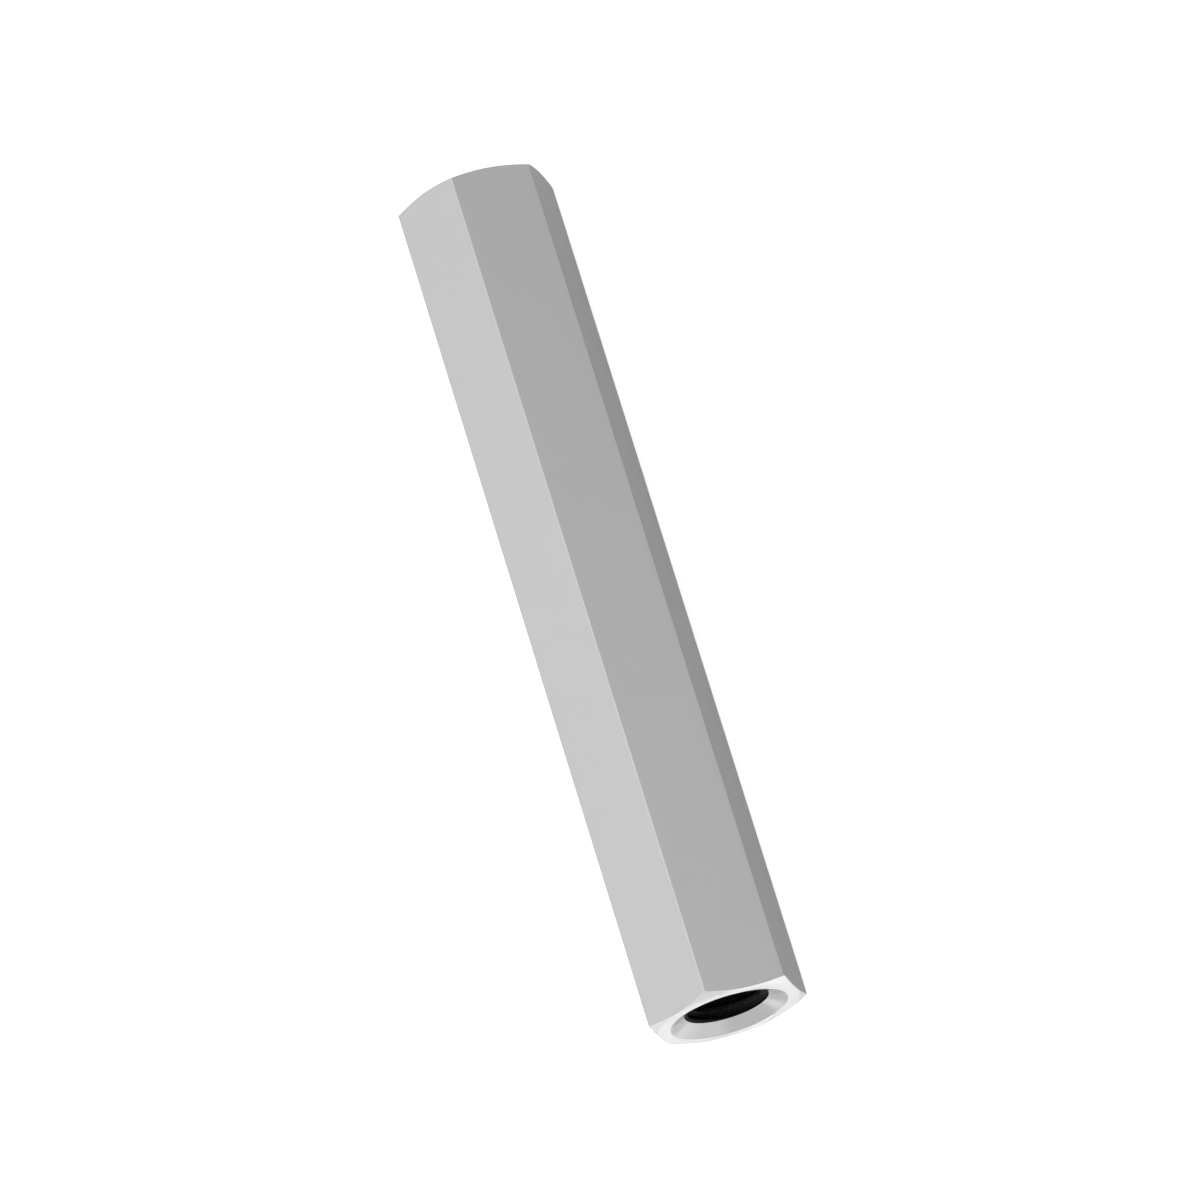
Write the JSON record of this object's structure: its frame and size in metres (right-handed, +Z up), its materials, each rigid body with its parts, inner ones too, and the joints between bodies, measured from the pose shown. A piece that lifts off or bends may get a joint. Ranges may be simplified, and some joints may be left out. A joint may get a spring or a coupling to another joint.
{
  "type": "sleeve nut",
  "caption": "Long hexagonal sleeve nut, drilled through, with a countersunk tapped stretch in each end and turned end chamfers, for drawing two threaded rods together.",
  "frame": {"origin": "under the middle of the nut, on the surface that it lies on", "axes": "+Y along the bore, from the right-hand thread to the left-hand thread; +X across two corners; +Z up, out of the flat on top"},
  "size_m": [0.023, 0.125, 0.02],
  "materials": {
    "steel": "satin"
  },
  "bodies": {
    "root": {"sleeve_nut": "steel"}
  },
  "joints": []
}
